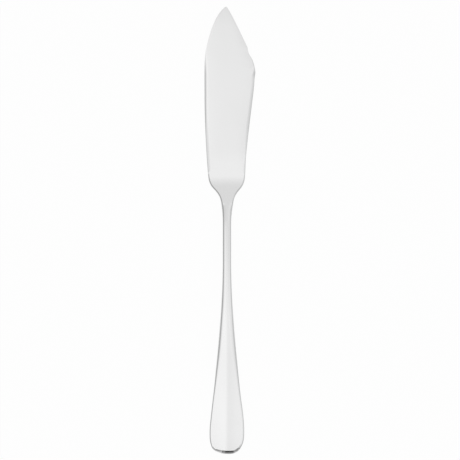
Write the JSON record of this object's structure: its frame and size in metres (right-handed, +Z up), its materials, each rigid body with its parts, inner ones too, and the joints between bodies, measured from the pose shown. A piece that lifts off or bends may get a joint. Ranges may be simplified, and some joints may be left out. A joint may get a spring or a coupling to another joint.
{
  "type": "fish knife",
  "caption": "Polished table fish knife: broad flat blade with clipped tip, notch and hump, slim neck, and an arched, ridged handle that widens to a rounded end.",
  "frame": {"origin": "on the flat underside of the blade, halfway between the tip and the throat, on the handle's axis", "axes": "+Y along the knife towards the tip, +X to the right seen from above with the tip up, towards the clipped edge, +Z up from the surface that the knife lies on"},
  "size_m": [0.0234, 0.205, 0.007],
  "materials": {
    "polished_steel": "polished"
  },
  "bodies": {
    "root": {"blade": "polished_steel", "handle": "polished_steel"}
  },
  "joints": []
}
